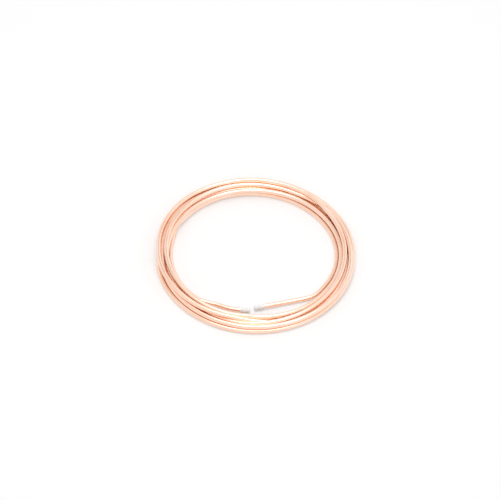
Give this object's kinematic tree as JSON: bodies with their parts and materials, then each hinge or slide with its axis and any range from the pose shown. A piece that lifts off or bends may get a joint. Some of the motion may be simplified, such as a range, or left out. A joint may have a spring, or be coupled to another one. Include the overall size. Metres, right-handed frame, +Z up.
{
  "type": "copper tube coil",
  "caption": "Flat coil of soft copper tube, wound in a loose round bundle, with its free ends bent into the eye and closed by push-on plastic caps.",
  "frame": {"origin": "centre of the coil, on the surface that it lies on", "axes": "+Z up, along the coil's axis; -Y towards the front, where the free ends meet; +X to the right seen from the front"},
  "size_m": [0.263, 0.263, 0.0209],
  "materials": {
    "copper": "bright drawn copper, lightly satin",
    "cap": "smooth white plastic"
  },
  "bodies": {
    "root": {"copper_tube": "copper", "end_cap_left": "cap", "end_cap_right": "cap"}
  },
  "joints": []
}
